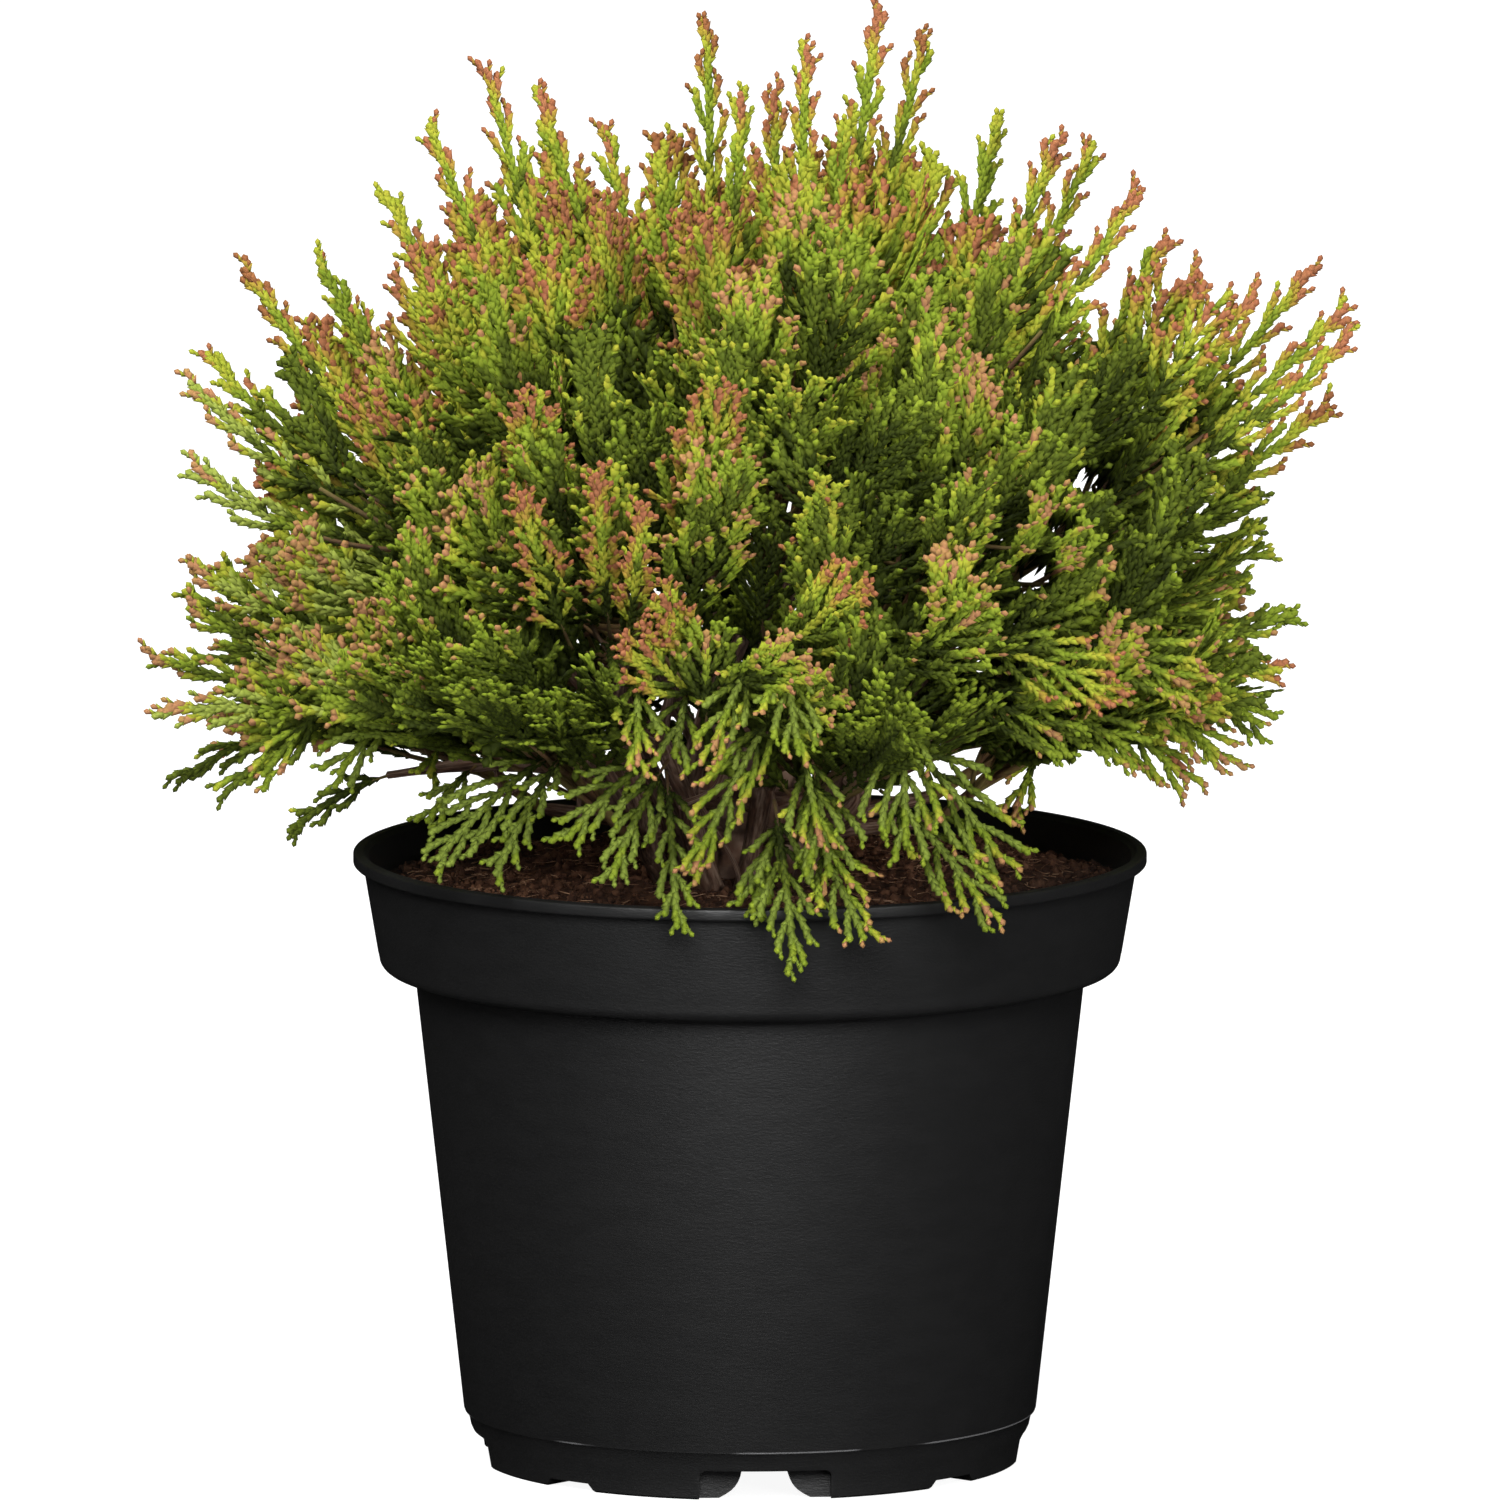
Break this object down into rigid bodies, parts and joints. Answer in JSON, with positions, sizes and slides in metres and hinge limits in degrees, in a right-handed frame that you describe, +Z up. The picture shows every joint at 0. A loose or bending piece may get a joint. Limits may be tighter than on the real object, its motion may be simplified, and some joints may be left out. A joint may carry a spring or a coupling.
{
  "type": "potted false cypress",
  "caption": "Low dome-shaped false cypress with bronze-tipped flattened sprays, standing in a round black nursery pot filled with peat.",
  "frame": {"origin": "middle of the plant's footprint, on the surface that the pot stands on", "axes": "+Z up along the pot's axis; the pictured front faces -Y; +X to the right of the picture"},
  "size_m": [0.2864, 0.263, 0.3513],
  "materials": {
    "pot": "matte black moulded plastic with a very fine grain",
    "peat": "dark, crumbly, slightly moist peat",
    "bark": "grey-brown stringy bark",
    "foliage_green": "green scale leaves, paler at the tips",
    "foliage_gold": "yellow-green scale leaves with copper tips"
  },
  "bodies": {
    "root": {"pot": "pot", "peat": "peat", "trunk": "bark", "bough_skirt_1": "bark", "bough_skirt_2": "bark", "bough_skirt_3": "bark", "bough_skirt_4": "bark", "bough_skirt_5": "bark", "bough_skirt_6": "bark", "bough_skirt_7": "bark", "bough_lower_1": "bark", "bough_lower_2": "bark", "bough_lower_3": "bark", "bough_lower_4": "bark", "bough_lower_5": "bark", "bough_lower_6": "bark", "bough_lower_7": "bark", "bough_middle_1": "bark", "bough_middle_2": "bark", "bough_middle_3": "bark", "bough_middle_4": "bark", "bough_middle_5": "bark", "bough_middle_6": "bark", "bough_upper_1": "bark", "bough_upper_2": "bark", "bough_upper_3": "bark", "bough_upper_4": "bark", "bough_upper_5": "bark", "bough_top_1": "bark", "bough_top_2": "bark", "foliage_skirt_1": "foliage_green", "foliage_skirt_2": "foliage_green", "foliage_skirt_3": "foliage_green", "foliage_skirt_4": "foliage_green", "foliage_skirt_5": "foliage_green", "foliage_skirt_6": "foliage_green", "foliage_skirt_7": "foliage_green", "foliage_lower_1": "foliage_green", "foliage_lower_2": "foliage_green", "foliage_lower_3": "foliage_green", "foliage_lower_4": "foliage_green", "foliage_lower_5": "foliage_green", "foliage_lower_6": "foliage_green", "foliage_lower_7": "foliage_green", "foliage_middle_1": "foliage_gold", "foliage_middle_2": "foliage_gold", "foliage_middle_3": "foliage_gold", "foliage_middle_4": "foliage_gold", "foliage_middle_5": "foliage_gold", "foliage_middle_6": "foliage_gold", "foliage_upper_1": "foliage_gold", "foliage_upper_2": "foliage_gold", "foliage_upper_3": "foliage_gold", "foliage_upper_4": "foliage_gold", "foliage_upper_5": "foliage_gold", "foliage_top_1": "foliage_gold", "foliage_top_2": "foliage_gold"}
  },
  "joints": []
}
